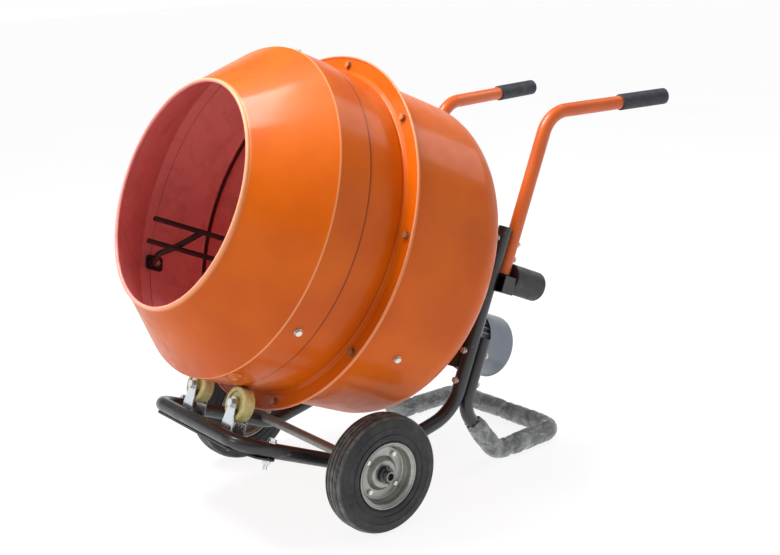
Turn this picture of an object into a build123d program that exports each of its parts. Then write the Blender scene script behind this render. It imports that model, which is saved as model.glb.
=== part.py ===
from build123d import *
import os
from math import acos, atan2, cos, pi, radians, sin, sqrt, tan

# Portable drum mixer. Millimetres, +Z up, mouth towards -Y, handles towards +Y, left side +X.
# The origin is on the floor, at the middle of the machine's length and width.

# ---- driving dimensions: wheels and axle
overall_length = 1316.3
wheel_r = 127.0
tyre_w = 62.0
wheel_x = 282.0
rim_seat_r = 64.0
rim_lip_r = 71.5
axle_r = 11.0
axle_half = 317.0
hub_bore_r = 11.05
hub_half = 20.0

# ---- driving dimensions: drum, given as distance s behind the mouth and radius r
drum_tilt = 25.0
mouth_ahead = 257.0
mouth_height = 730.0
sheet = 2.0
lip_s = 4.0
lip_r = 238.5
lip_bead_r = 4.0
cone_end_s = 134.6
skirt_r = 356.5
skirt_end_s = 210.6
track_start_s = 160.0
track_r = 354.4
track_end_s = 292.8
cove_s = 298.0
cove_r = 351.0
flange_s = 302.0
flange_r = 392.0
flange_bead_r = 2.3
gasket_t = 2.0
shell_r = 363.8
knuckle_r = 77.0
knuckle_corner_s = 591.0
back_s = 636.0
back_flat_r = 120.0
shaft_hole_r = 21.0
ring_bolt_r = 375.0
ring_bolt_count = 9
ring_bolt_start = -73.5

# ---- driving dimensions: mixing arms
paddle_count = 3
paddle_start = -33.0
lone_bolt_at = -62.5
lone_bolt_s = 150.0
lone_washer_r = 13.5
lone_washer_t = 2.5
foot_front_s = 171.0
foot_rear_s = 424.0
foot_shift = -4.0
foot_half_w = 17.0
foot_half_l = 21.0
foot_t = 5.0
foot_gap = 0.5
arm_bar_r = 7.0
arm_ahead = 16.0
cross_bar_r = 6.0
cross_bar_start_s = 103.0
cross_bar_end_s = 390.0
upper_bar = (250.0, 60.0)
lower_bar = (273.6, 13.7)

# ---- driving dimensions: drum shaft and drive, stations along the drum's axis
hub_r = 105.0
hub_t = 10.0
hub_boss_r = 36.0
hub_boss_end_s = 656.0
hub_bolt_r = 82.0
hub_bolt_count = 6
shaft_r = 20.0
shaft_end_s = 826.0
case_front_s = 660.0
cover_t = 4.0
plate_s = 712.0
plate_t = 8.0
case_wall = 5.0
motor_drop = 131.0
pressure_angle = radians(25)
backlash = 0.36
addendum = 0.92
dedendum = 1.25
big_module = 2.5
small_module = 1.5
pinion_teeth = 13
wheel_teeth = 91
drive_gear_s = 668.0
drive_gear_w = 16.0
reduction_gear_s = 690.0
reduction_gear_w = 10.0
countershaft_r = 9.0
journal_r = 7.0
journal_clearance = 0.05

# ---- driving dimensions: motor
motor_shell_r = 64.0
motor_fin_r = 72.0
motor_fins = 30
motor_front_s = 721.0
motor_rear_s = 904.0
cowl_r = 77.5
cowl_start_s = 890.0
cowl_end_s = 975.0
motor_shaft_r = 9.5

# ---- driving dimensions: frame tubes
tube_r = 16.0
tube_wall = 2.0
rail_x = 186.0
upright_s = 728.0
upright_top_t = 144.0
crossbar_ahead = 268.0
crossbar_z = 240.0
rail_rise = 11.5
rail_rise_at = (207.0, 141.0)
second_tube_s = upright_s + 2 * tube_r + 0.1
grip_reach = 956.0
grip_x = 230.0
grip_z = 795.0
grip_r = 19.3
grip_length = 140.0
handle_low_t = 41.0
handle_bolt_t = (115.0, 80.0)
stand_top_t = -112.0
stand_bolt_t = (-151.0, -221.0)
stand_floor_front = 405.0
stand_floor_rear = 600.0
stand_leg_angle = 54.0
wrap_r = 25.0
wrap_gap = 0.2
wrap_flat = 0.6

# ---- driving dimensions: support rollers and their forks
roller_r = 37.5
roller_half_w = 13.5
roller_gap = 0.2
roller_angle = 12.3
roller_s = 236.0
roller_bolt_r = 5.0
fork_gap_half = 15.5
fork_t = 3.0
roller_plate_t = 4.0
roller_plate_front_s = 190.0
roller_plate_rear_s = 284.0
roller_plate_widen_s = 235.0
roller_plate_front_half = 150.0
roller_plate_half = 198.0

# ---- driving dimensions: switch box
switch_start_s = 779.0
switch_end_s = 871.0
switch_t = 35.5
switch_r = 34.5
bracket_w = 60.0
bracket_h = 40.0
bracket_t = 18.0
button_r = 8.0
button_travel = 4.0
button_clearance = 0.3

# ---- driving dimensions: fasteners, as shares of the thread size
washer_share = 0.2
head_share = 0.65
m6_hole_r = 3.3
m8_hole_r = 4.3
m10_hole_r = 5.3

os.makedirs("parts", exist_ok=True)


def save(piece, name):
    """Label a finished piece and write it as its own file."""
    piece.part.label = name
    export_step(piece.part, f"parts/{name}.step")


# ---- frame of reference
tilt = radians(drum_tilt)
mouth_low_y = -mouth_ahead + lip_s * cos(tilt) - lip_r * sin(tilt) - lip_bead_r
axle_y = -overall_length / 2 - mouth_low_y
mouth_centre = Vector(0, axle_y - mouth_ahead, mouth_height)
axis_back = Vector(0, cos(tilt), -sin(tilt))
drum_up = Vector(0, sin(tilt), cos(tilt))
drum_axis = Axis(mouth_centre, axis_back)
drum_section = Plane(origin=mouth_centre, x_dir=axis_back, z_dir=(1, 0, 0))
wheel_axis = Axis((0, axle_y, wheel_r), (1, 0, 0))
sides = {"left": 1, "right": -1}


def drum_point(x, s, t):
    """World point at width x, a distance s behind the mouth and t above the drum's axis."""
    return drum_section.from_local_coords((s, t, x))


def across(s):
    """Plane square to the drum's axis at station s; local x is the width, local y is up."""
    return Plane(origin=drum_point(0, s, 0), x_dir=(1, 0, 0), z_dir=-axis_back)


def frame_point(x, back, z):
    """World point at width x, a distance back behind the axle and z above the floor."""
    return Vector(x, axle_y + back, z)


def level(t, s=roller_s):
    """Plane facing up from the chassis at height t; local x is the width, local y runs back."""
    return Plane(origin=drum_point(0, s, t), x_dir=(1, 0, 0), z_dir=drum_up)


def polar(radius, angle):
    """Point in a plane from a radius and an angle in radians."""
    return (radius * cos(angle), radius * sin(angle))


def spin_sheet(points, radii, thickness=sheet):
    """Revolve a bent sheet about the drum's axis; the points run along its outer line."""
    with BuildSketch(drum_section) as profile:
        with BuildLine():
            FilletPolyline(*points, radius=radii)
            offset(amount=thickness, side=Side.RIGHT)
        make_face()
    revolve(profile.sketch, axis=drum_axis)


def spin_bead(s, r, bead_r):
    """Revolve a rolled wire edge about the drum's axis."""
    with BuildSketch(drum_section) as profile:
        with Locations((s, r)):
            Circle(bead_r)
    revolve(profile.sketch, axis=drum_axis)


def bend_tube(points, radii, outer_r=tube_r, inner_r=0.0):
    """Sweep a round tube or bar along straight runs joined by bends."""
    with BuildLine() as route:
        FilletPolyline(*points, radius=radii)
    with BuildSketch(Plane(origin=route.line @ 0, z_dir=route.line % 0)) as section:
        Circle(outer_r)
        if inner_r:
            Circle(inner_r, mode=Mode.SUBTRACT)
    sweep(section.sketch, path=route.line)


def round_bar(plane, places, radius, length, mode=Mode.ADD):
    """Round bars or holes at places on a plane, running along its normal by a signed length."""
    with BuildSketch(plane) as section:
        with Locations(*places):
            Circle(radius)
    extrude(section.sketch, amount=length, mode=mode)


def disc(s_front, s_back, radius, centre=(0, 0), mode=Mode.ADD):
    """Round disc square to the drum's axis, between two stations."""
    round_bar(across(s_front), [centre], radius, s_front - s_back, mode)


def hex_heads(seat, places, size, outward=1):
    """Hex heads or nuts on washers, standing on a seat plane and facing out or in."""
    washer_t = outward * washer_share * size
    round_bar(seat, places, 1.05 * size, washer_t)
    with BuildSketch(seat.offset(washer_t)) as hexagon:
        with Locations(*places):
            RegularPolygon(0.92 * size, 6)
    extrude(hexagon.sketch, amount=outward * head_share * size)


def hex_bolts(seat, places, grip, size=8.0, tail=2.0):
    """Hex bolts with heads out of the seat plane, each with a nut beyond the grip and a thread tail."""
    hex_heads(seat, places, size)
    hex_heads(seat.offset(-grip), places, size, outward=-1)
    shank = grip + (washer_share + head_share) * size + tail
    round_bar(seat, places, size / 2, -shank)


def hex_screws(seat, places, depth, size=6.0):
    """Hex screws with heads out of the seat plane, threaded into the metal below it."""
    hex_heads(seat, places, size)
    round_bar(seat, places, size / 2, -depth)


# ---- drum shells
cone_outline = [(lip_s, lip_r + 0.5), (cone_end_s, skirt_r), (skirt_end_s, skirt_r)]
ring_angles = [radians(ring_bolt_start + 360 * k / ring_bolt_count) for k in range(ring_bolt_count)]
ring_places = [polar(ring_bolt_r, angle) for angle in ring_angles]
gasket_s = flange_s + sheet
rear_flange_s = gasket_s + gasket_t
paddle_angles = [radians(paddle_start + 360 * k / paddle_count) for k in range(paddle_count)]
lone_bolt_angle = radians(lone_bolt_at)


def radial_plane(s, angle, radius):
    """Plane whose normal points out from the drum's axis at a station and angle."""
    outward = Vector(cos(angle), sin(angle) * sin(tilt), sin(angle) * cos(tilt))
    x, t = polar(radius, angle)
    return Plane(origin=drum_point(x, s, t), x_dir=axis_back, z_dir=outward)


def drill_wall(s, reach, angles):
    """Cut bolt holes through the drum's wall at one station."""
    for angle in angles:
        round_bar(radial_plane(s, angle, reach), [(0, 0)], m8_hole_r, -20, Mode.SUBTRACT)


with BuildPart() as drum_cone:
    spin_sheet(cone_outline, 6)
    spin_bead(lip_s, lip_r, lip_bead_r)
    drill_wall(foot_front_s, skirt_r + 6, paddle_angles)
    drill_wall(lone_bolt_s, skirt_r + 6, [lone_bolt_angle])
save(drum_cone, "drum_cone")

track_outline = [
    (track_start_s, track_r),
    (track_end_s, track_r),
    (cove_s, cove_r),
    (flange_s, cove_r + 12),
    (flange_s, flange_r),
]
with BuildPart() as drum_track:
    spin_sheet(track_outline, [2.5, 3.5, 8])
    spin_bead(flange_s + sheet - flange_bead_r, flange_r, flange_bead_r)
    round_bar(across(flange_s - 1), ring_places, m8_hole_r, -5, Mode.SUBTRACT)
    drill_wall(foot_front_s, track_r + 6, paddle_angles)
save(drum_track, "drum_track")

with BuildPart() as drum_gasket:
    disc(gasket_s, rear_flange_s, flange_r - 3)
    disc(gasket_s, rear_flange_s, cove_r - sheet - 2, mode=Mode.SUBTRACT)
    round_bar(across(gasket_s - 1), ring_places, m8_hole_r, -4, Mode.SUBTRACT)
save(drum_gasket, "drum_gasket")

rear_outline = [
    (rear_flange_s + sheet, flange_r - 1),
    (rear_flange_s + sheet, shell_r),
    (knuckle_corner_s, shell_r),
    (back_s, back_flat_r),
    (back_s, shaft_hole_r),
]
with BuildPart() as drum_rear:
    spin_sheet(rear_outline, [2.2, knuckle_r, 20])
    round_bar(across(rear_flange_s - 1), ring_places, m8_hole_r, -5, Mode.SUBTRACT)
    drill_wall(foot_rear_s, shell_r + 6, paddle_angles)
    with BuildSketch(across(back_s - 6)):
        with PolarLocations(hub_bolt_r, hub_bolt_count):
            Circle(m10_hole_r)
    extrude(amount=-10, mode=Mode.SUBTRACT)
save(drum_rear, "drum_rear")

with BuildPart() as ring_bolts:
    hex_bolts(across(flange_s), ring_places, 2 * sheet + gasket_t, size=8.0)
save(ring_bolts, "ring_bolts")


# ---- mixing arms
def paddle_point(angle, s, r, w):
    """Point beside one mixing arm: station s, radius r out from the axis, w round the drum."""
    x = r * cos(angle) + w * sin(angle)
    t = r * sin(angle) - w * cos(angle)
    return drum_point(x, s, t)


def paddle_foot(angle, bolt_s, shift, wall_r):
    """Flat foot of a mixing arm against the drum's wall, drilled for its bolt."""
    seat = radial_plane(bolt_s, angle, wall_r - foot_t - foot_gap)
    with BuildSketch(seat) as foot:
        with Locations((shift, 0)):
            RectangleRounded(2 * foot_half_l, 2 * foot_half_w, 6)
        Circle(m8_hole_r, mode=Mode.SUBTRACT)
    extrude(foot.sketch, amount=foot_t)


def mixing_arm(angle):
    """Two cross bars along the drum, carried by a bent arm in front and one behind."""
    upper_r, upper_w = upper_bar
    lower_r, lower_w = lower_bar
    front_s = foot_front_s - arm_ahead
    rear_s = foot_rear_s - arm_ahead
    front_route = [
        (front_s, track_r - 5.4, -6),
        (front_s, track_r - 20.4, -6),
        (front_s + 3, 316, 10),
        (front_s + 35, 286, 28),
        (front_s + 75, upper_r + 4, upper_w),
    ]
    rear_route = [
        (rear_s, shell_r - 5.3, -4),
        (rear_s, shell_r - 19.8, -4),
        (rear_s - 8, 318, 6),
        (rear_s - 26, lower_r, lower_w),
        (rear_s - 36, upper_r, upper_w),
    ]
    bend_tube([paddle_point(angle, *p) for p in front_route], 16, arm_bar_r)
    bend_tube([paddle_point(angle, *p) for p in rear_route], 14, arm_bar_r)
    for r, w in (upper_bar, lower_bar):
        start = Plane(origin=paddle_point(angle, cross_bar_start_s, r, w), z_dir=axis_back)
        round_bar(start, [(0, 0)], cross_bar_r, cross_bar_end_s - cross_bar_start_s)
    paddle_foot(angle, foot_front_s, foot_shift, track_r - sheet)
    paddle_foot(angle, foot_rear_s, foot_shift, shell_r - sheet)


for number, arm_angle in enumerate(paddle_angles, 1):
    with BuildPart() as paddle:
        mixing_arm(arm_angle)
    save(paddle, f"paddle_{number}")

with BuildPart() as paddle_bolts:
    for arm_angle in paddle_angles:
        front_grip = skirt_r - track_r + sheet + foot_t + foot_gap
        rear_grip = sheet + foot_t + foot_gap
        hex_bolts(radial_plane(foot_front_s, arm_angle, skirt_r), [(0, 0)], front_grip, size=8.0)
        hex_bolts(radial_plane(foot_rear_s, arm_angle, shell_r), [(0, 0)], rear_grip, size=8.0)
    lone_seat = radial_plane(lone_bolt_s, lone_bolt_angle, skirt_r)
    round_bar(lone_seat, [(0, 0)], lone_washer_r, lone_washer_t)
    hex_bolts(lone_seat.offset(lone_washer_t), [(0, 0)], lone_washer_t + sheet + foot_gap, size=8.0)
save(paddle_bolts, "paddle_bolts")

# ---- hub, shaft and gears
hub_places = [polar(hub_bolt_r, 2 * pi * k / hub_bolt_count) for k in range(hub_bolt_count)]
gear_centres = (pinion_teeth + wheel_teeth) / 2
big_centres = big_module * gear_centres
small_centres = small_module * gear_centres
lay_angle = acos((motor_drop**2 + big_centres**2 - small_centres**2) / (2 * motor_drop * big_centres))
counter_centre = (-big_centres * sin(lay_angle), -big_centres * cos(lay_angle))
motor_centre = (0.0, -motor_drop)

with BuildPart() as hub_flange:
    disc(back_s, back_s + hub_t, hub_r)
    disc(back_s + hub_t, hub_boss_end_s, hub_boss_r)
    disc(back_s, hub_boss_end_s, shaft_r, mode=Mode.SUBTRACT)
    round_bar(across(back_s), hub_places, m10_hole_r, -hub_t, Mode.SUBTRACT)
save(hub_flange, "hub_flange")

with BuildPart() as hub_bolts:
    hex_bolts(across(back_s - sheet), hub_places, sheet + hub_t, size=10.0)
save(hub_bolts, "hub_bolts")

with BuildPart() as drum_shaft:
    disc(back_s - 8, shaft_end_s, shaft_r)
    chamfer(faces().sort_by(drum_axis)[-1].edges(), 1.5)
save(drum_shaft, "drum_shaft")


def involute(angle):
    """Involute function of a pressure angle."""
    return tan(angle) - angle


def gear_outline(teeth, module, turn):
    """Outline of an involute gear with a tooth centred at the angle turn."""
    pitch_r = module * teeth / 2
    base_r = pitch_r * cos(pressure_angle)
    tip_r = pitch_r + addendum * module
    root_r = pitch_r - dedendum * module
    pitch_half = pi / (2 * teeth) - backlash / (2 * pitch_r) + involute(pressure_angle)
    flank = [(min(root_r, base_r), pitch_half)]
    for share in (0.0, 0.4, 0.7, 1.0):
        r = max(base_r, root_r) + share * (tip_r - max(base_r, root_r))
        flank.append((r, pitch_half - involute(acos(base_r / r))))
    points = []
    for tooth in range(teeth):
        middle = turn + 2 * pi * tooth / teeth
        points += [polar(r, middle - half) for r, half in flank[1:]]
        points += [polar(r, middle + half) for r, half in reversed(flank[1:])]
        points.append(polar(root_r - 0.1 * module, middle + pi / teeth))
    return points


def toothed_disc(s, width, centre, teeth, module, turn):
    """Spur gear blank with its teeth, starting at station s and running back."""
    outline = [(centre[0] + x, centre[1] + y) for x, y in gear_outline(teeth, module, turn)]
    with BuildSketch(across(s)) as face:
        with BuildLine():
            Polyline(*outline, close=True)
        make_face()
    extrude(face.sketch, amount=-width)


def lighten(s, width, centre, hub_radius, rim_radius, hole_count, hole_r):
    """Thin a gear's web from both faces and drill its lightening holes."""
    recess = width / 4
    for start, depth in ((s, -recess), (s + width, recess)):
        with BuildSketch(across(start)) as ring:
            with Locations(centre):
                Circle(rim_radius)
                Circle(hub_radius, mode=Mode.SUBTRACT)
        extrude(ring.sketch, amount=depth, mode=Mode.SUBTRACT)
    middle_r = (hub_radius + rim_radius) / 2
    holes = [polar(middle_r, 2 * pi * k / hole_count) for k in range(hole_count)]
    places = [(centre[0] + x, centre[1] + y) for x, y in holes]
    round_bar(across(s), places, hole_r, -width, Mode.SUBTRACT)


to_counter = atan2(counter_centre[1], counter_centre[0])
to_motor = atan2(motor_centre[1] - counter_centre[1], motor_centre[0] - counter_centre[0])
half_pitch = pi / pinion_teeth

with BuildPart() as drive_gear:
    toothed_disc(drive_gear_s, drive_gear_w, (0, 0), wheel_teeth, big_module, to_counter)
    lighten(drive_gear_s, drive_gear_w, (0, 0), 34, 100, 6, 18)
    disc(drive_gear_s, drive_gear_s + drive_gear_w, shaft_r, mode=Mode.SUBTRACT)
save(drive_gear, "drive_gear")

with BuildPart() as countershaft:
    disc(case_front_s, plate_s - 1, journal_r, counter_centre)
    disc(case_front_s + cover_t + 1, plate_s - case_wall - 1, countershaft_r, counter_centre)
    toothed_disc(
        drive_gear_s - 1,
        drive_gear_w + 2,
        counter_centre,
        pinion_teeth,
        big_module,
        to_counter + pi + half_pitch,
    )
save(countershaft, "countershaft")

with BuildPart() as reduction_gear:
    toothed_disc(reduction_gear_s, reduction_gear_w, counter_centre, wheel_teeth, small_module, to_motor)
    lighten(reduction_gear_s, reduction_gear_w, counter_centre, 20, 58, 6, 10)
    disc(
        reduction_gear_s,
        reduction_gear_s + reduction_gear_w,
        countershaft_r,
        counter_centre,
        Mode.SUBTRACT,
    )
save(reduction_gear, "reduction_gear")


# ---- gear case
housing_flange_s = plate_s + plate_t
housing_flange_t = 10.0
housing_r = 42.0
housing_flange_r = 56.0
housing_end_s = 832.0
bearing_r = 36.0
bearing_w = 16.0
bearing_stations = (housing_flange_s + housing_flange_t + 2, shaft_end_s - 6 - bearing_w)
housing_angles = [radians(a) for a in (20, 90, 160, 200, 340)]
housing_places = [polar(49, a) for a in housing_angles]


def case_block(s, depth, grow, mode=Mode.ADD):
    """Block round the two gear centres, grown by a margin, from station s backwards."""
    with BuildSketch(across(s)) as outline:
        with Locations((0, 0)):
            Circle(120 + grow)
        with Locations(counter_centre):
            Circle(74 + grow)
        make_hull()
    extrude(outline.sketch, amount=-depth, mode=mode)


case_bolt_angles = [radians(a) for a in (-20, 20, 58, 122, 158)]
case_places = [polar(131, a) for a in case_bolt_angles]
low_angles = [radians(a) for a in (200, 240)]
case_places += [(counter_centre[0] + 85 * cos(a), counter_centre[1] + 85 * sin(a)) for a in low_angles]


def case_lugs(s, depth):
    """Round lugs that take the case's bolts."""
    round_bar(across(s), case_places, 10, -depth)


with BuildPart() as gearcase:
    case_start_s = case_front_s + cover_t
    case_block(case_start_s, plate_s - case_start_s, 5)
    case_lugs(case_start_s, plate_s - case_start_s)
    case_block(case_start_s, plate_s - case_wall - case_start_s, 0, Mode.SUBTRACT)
    disc(plate_s - case_wall, plate_s, shaft_r + 1, mode=Mode.SUBTRACT)
    disc(plate_s - case_wall, plate_s, journal_r + journal_clearance, counter_centre, Mode.SUBTRACT)
    disc(plate_s - case_wall, plate_s, motor_shaft_r + 1, motor_centre, Mode.SUBTRACT)
    round_bar(across(case_front_s), case_places + housing_places, m6_hole_r, -60, Mode.SUBTRACT)
save(gearcase, "gearcase")

with BuildPart() as gearcase_cover:
    case_block(case_front_s, cover_t, 5)
    case_lugs(case_front_s, cover_t)
    disc(case_front_s, case_front_s + cover_t, shaft_r + 1, mode=Mode.SUBTRACT)
    disc(
        case_front_s,
        case_front_s + cover_t,
        journal_r + journal_clearance,
        counter_centre,
        Mode.SUBTRACT,
    )
    round_bar(across(case_front_s), case_places, m6_hole_r, -cover_t, Mode.SUBTRACT)
save(gearcase_cover, "gearcase_cover")

# ---- shaft housing behind the back plate
with BuildPart() as shaft_housing:
    disc(housing_flange_s, housing_flange_s + housing_flange_t, housing_flange_r)
    disc(housing_flange_s, housing_end_s - 4, housing_r)
    disc(housing_flange_s, housing_end_s - 4, bearing_r, mode=Mode.SUBTRACT)
    round_bar(across(housing_flange_s), housing_places, m6_hole_r, -housing_flange_t, Mode.SUBTRACT)
save(shaft_housing, "shaft_housing")

with BuildPart() as shaft_bearings:
    for station in bearing_stations:
        with BuildSketch(across(station)):
            Circle(bearing_r)
            Circle(shaft_r + 0.05, mode=Mode.SUBTRACT)
        extrude(amount=-bearing_w)
        for face_s, depth in ((station, -1.5), (station + bearing_w, 1.5)):
            with BuildSketch(across(face_s)):
                Circle(bearing_r - 4)
                Circle(shaft_r + 4, mode=Mode.SUBTRACT)
            extrude(amount=depth, mode=Mode.SUBTRACT)
save(shaft_bearings, "shaft_bearings")

with BuildPart() as housing_cap:
    disc(housing_end_s - 4, housing_end_s, housing_r)
    fillet(faces().sort_by(drum_axis)[-1].edges(), 2)
save(housing_cap, "housing_cap")

# ---- motor
stator_r = motor_shell_r - 5
rotor_r = 34.0
motor_flange_t = 12.0
motor_screw_angles = [radians(a) for a in (20, 160, 200, 340)]
motor_screw_places = [(82 * cos(a), 82 * sin(a) - motor_drop) for a in motor_screw_angles]
rotor_front_s = 752.0
rotor_rear_s = 862.0
fan_s = 922.0


def motor_disc(s_front, s_back, radius, mode=Mode.ADD):
    """Disc on the motor's axis between two stations."""
    disc(s_front, s_back, radius, motor_centre, mode)


with BuildPart() as motor_body:
    motor_disc(motor_front_s, motor_rear_s, motor_shell_r)
    with BuildSketch(across(motor_front_s + 14)):
        with Locations(motor_centre):
            with PolarLocations(motor_fin_r - 7, motor_fins):
                Rectangle(14, 2.4)
    extrude(amount=-(motor_rear_s - motor_front_s - 20))
    motor_disc(motor_front_s, motor_front_s + motor_flange_t, motor_fin_r + 1)
    round_bar(across(motor_front_s), motor_screw_places, 10, -motor_flange_t)
    round_bar(across(motor_front_s), motor_screw_places, 3.1, -motor_flange_t, Mode.SUBTRACT)
    motor_disc(motor_front_s + motor_flange_t, motor_rear_s - 8, stator_r, Mode.SUBTRACT)
    motor_disc(motor_front_s, motor_rear_s, motor_shaft_r + journal_clearance, Mode.SUBTRACT)
save(motor_body, "motor_body")

with BuildPart() as motor_stator:
    motor_disc(rotor_front_s, rotor_rear_s, stator_r)
    motor_disc(rotor_front_s - 12, rotor_rear_s + 12, stator_r - 5)
    motor_disc(rotor_front_s - 12, rotor_rear_s + 12, rotor_r + 0.6, Mode.SUBTRACT)
save(motor_stator, "motor_stator")

with BuildPart() as motor_rotor:
    motor_disc(rotor_front_s, rotor_rear_s, rotor_r)
    motor_disc(rotor_front_s, rotor_rear_s, motor_shaft_r, Mode.SUBTRACT)
save(motor_rotor, "motor_rotor")

with BuildPart() as motor_shaft:
    motor_disc(reduction_gear_s + reduction_gear_w + 3, fan_s + 22, motor_shaft_r)
    toothed_disc(
        reduction_gear_s - 1,
        reduction_gear_w + 4,
        motor_centre,
        pinion_teeth,
        small_module,
        to_motor + pi + half_pitch,
    )
save(motor_shaft, "motor_shaft")

with BuildPart() as motor_fan:
    motor_disc(fan_s, fan_s + 4, 52)
    motor_disc(fan_s, fan_s + 20, 16)
    with BuildSketch(across(fan_s + 4)):
        with Locations(motor_centre):
            with PolarLocations(38, 9):
                Rectangle(26, 2.5)
    extrude(amount=-18)
    motor_disc(fan_s, fan_s + 20, motor_shaft_r, Mode.SUBTRACT)
save(motor_fan, "motor_fan")

with BuildPart() as fan_cowl:
    motor_disc(cowl_start_s, cowl_end_s, cowl_r)
    fillet(faces().sort_by(drum_axis)[-1].edges(), 10)
    cup_mouth = faces().sort_by(drum_axis)[0]
    offset(amount=-1.6, openings=cup_mouth)
    with BuildSketch(across(cowl_end_s - 5)):
        with Locations(motor_centre):
            for row in range(-4, 5):
                half_row = sqrt(58**2 - (row * 12) ** 2)
                with Locations((0, row * 12)):
                    SlotOverall(2 * half_row, 5)
    extrude(amount=-10, mode=Mode.SUBTRACT)
    with BuildSketch(across(motor_rear_s)):
        with Locations(motor_centre):
            with PolarLocations(70, 4, start_angle=45):
                Rectangle(14, 14)
    extrude(amount=-4)
save(fan_cowl, "fan_cowl")

# ---- back plate between the uprights
plate_top_t = 126.0
plate_low_t = -194.0
plate_half_w = 177.0


def tube_line(x, s, low_t, top_t, radius, mode=Mode.ADD):
    """Straight round bar along the drum frame's up direction at width x and station s."""
    start = Plane(origin=drum_point(x, s, low_t), z_dir=drum_up)
    round_bar(start, [(0, 0)], radius, top_t - low_t, mode)


with BuildPart() as back_plate:
    with BuildSketch(across(plate_s)):
        with Locations((0, (plate_top_t + plate_low_t) / 2)):
            RectangleRounded(2 * plate_half_w, plate_top_t - plate_low_t, 8)
    extrude(amount=-plate_t)
    with BuildSketch(across(plate_s + plate_t)):
        with Locations((0, plate_top_t - 3), (0, plate_low_t + 3)):
            Rectangle(2 * plate_half_w - 30, 6)
    extrude(amount=-16)
    disc(plate_s, plate_s + 24, motor_fin_r + 4, motor_centre, Mode.SUBTRACT)
    disc(plate_s, plate_s + plate_t, cowl_r + 15, motor_centre)
    disc(plate_s, plate_s + plate_t, shaft_r + 2, mode=Mode.SUBTRACT)
    disc(plate_s, plate_s + plate_t, motor_shaft_r + 2, motor_centre, Mode.SUBTRACT)
    for side in sides.values():
        tube_line(side * rail_x, upright_s, plate_low_t - 10, plate_top_t + 10, tube_r + 0.02, Mode.SUBTRACT)
    round_bar(across(plate_s), case_places + housing_places, m6_hole_r, -plate_t, Mode.SUBTRACT)
    round_bar(across(plate_s), motor_screw_places, 3.02, -plate_t, Mode.SUBTRACT)
save(back_plate, "back_plate")

# ---- chassis tube: uprights, rails and front crossbar in one bend
upright_foot = drum_point(rail_x, upright_s, 0)
rise = tan(radians(rail_rise))
fall = -tan(tilt)
upright_run = cos(tilt) / sin(tilt)
rise_base = rail_rise_at[1] - rise * rail_rise_at[0]
fall_base = crossbar_z + fall * crossbar_ahead
upright_base = upright_foot.Z - upright_run * (upright_foot.Y - axle_y)
rear_corner = (upright_base - rise_base) / (rise - upright_run)
axle_corner = (fall_base - rise_base) / (rise - fall)


def chassis_route(side):
    """Corner points of one half of the chassis, from the upright's top to the crossbar."""
    x = side * rail_x
    return [
        drum_point(x, upright_s, upright_top_t),
        frame_point(x, rear_corner, rise_base + rise * rear_corner),
        frame_point(x, axle_corner, rise_base + rise * axle_corner),
        frame_point(x, -crossbar_ahead, crossbar_z),
    ]


upright_hole_t = handle_bolt_t + stand_bolt_t
crossbar_t = (mouth_ahead - crossbar_ahead) * sin(tilt) + (crossbar_z - mouth_height) * cos(tilt)
plate_seat_t = crossbar_t - tube_r
plate_bolt_s = 268.0


def drill_uprights(s):
    """Bolt holes through both uprights or the tubes behind them."""
    places = [(side * rail_x, t) for side in sides.values() for t in upright_hole_t]
    round_bar(across(s), places, m8_hole_r, -2 * tube_r - 2, Mode.SUBTRACT)


with BuildPart() as chassis_tube:
    half_route = chassis_route(1)
    full_route = half_route + list(reversed(chassis_route(-1)))
    bend_tube(full_route, [110, 90, 52, 52, 90, 110], tube_r, tube_r - tube_wall)
    drill_uprights(upright_s - tube_r - 1)
    with BuildSketch(Plane.YZ.offset(-axle_half)):
        with Locations((axle_y, wheel_r)):
            Circle(axle_r + 0.02)
    extrude(amount=2 * axle_half, mode=Mode.SUBTRACT)
    for depth in (2 * tube_r, -2 * tube_r):
        rail_places = [(rail_x, 0), (-rail_x, 0)]
        round_bar(level(crossbar_t, plate_bolt_s), rail_places, m10_hole_r, depth, Mode.SUBTRACT)
save(chassis_tube, "chassis_tube")

# ---- stand loop and its wrapping
stand_x = rail_x
leg = radians(stand_leg_angle)
stand_line_y = drum_point(0, second_tube_s, 0).Y - axle_y
stand_line_z = drum_point(0, second_tube_s, 0).Z
loop_z = wrap_r - wrap_flat
leg_height = (stand_line_z - loop_z) * tan(tilt) - stand_line_y + stand_floor_front
leg_run = leg_height / (cos(leg) + sin(leg) * tan(tilt))
leg_corner = (stand_floor_front - leg_run * cos(leg), loop_z + leg_run * sin(leg))
wrap_start_run = 0.76 * leg_run


def stand_route(side, from_wrap):
    """Corner points of half the stand loop, from its top or from where the wrapping begins."""
    x = side * stand_x
    run = wrap_start_run
    if from_wrap:
        upper = [frame_point(x, stand_floor_front - run * cos(leg), loop_z + run * sin(leg))]
    else:
        upper = [drum_point(x, second_tube_s, stand_top_t), frame_point(x, *leg_corner)]
    return upper + [frame_point(x, stand_floor_front, loop_z), frame_point(x, stand_floor_rear, loop_z)]


def stand_loop(from_wrap, outer_r, inner_r):
    """Sweep the stand loop, or the wrapping round its lower part."""
    points = stand_route(1, from_wrap) + list(reversed(stand_route(-1, from_wrap)))
    bends = [42, 50, 50, 42] if from_wrap else [60, 42, 50, 50, 42, 60]
    bend_tube(points, bends, outer_r, inner_r)


with BuildPart() as stand_tube:
    stand_loop(False, tube_r, tube_r - tube_wall)
    drill_uprights(second_tube_s - tube_r - 1)
save(stand_tube, "stand_tube")

with BuildPart() as stand_wrap:
    stand_loop(True, wrap_r, tube_r + wrap_gap)
    split(bisect_by=Plane.XY, keep=Keep.TOP)
save(stand_wrap, "stand_wrap")

# ---- handles and grips
handle_corner_t = (grip_z - stand_line_z) / cos(tilt)


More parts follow.
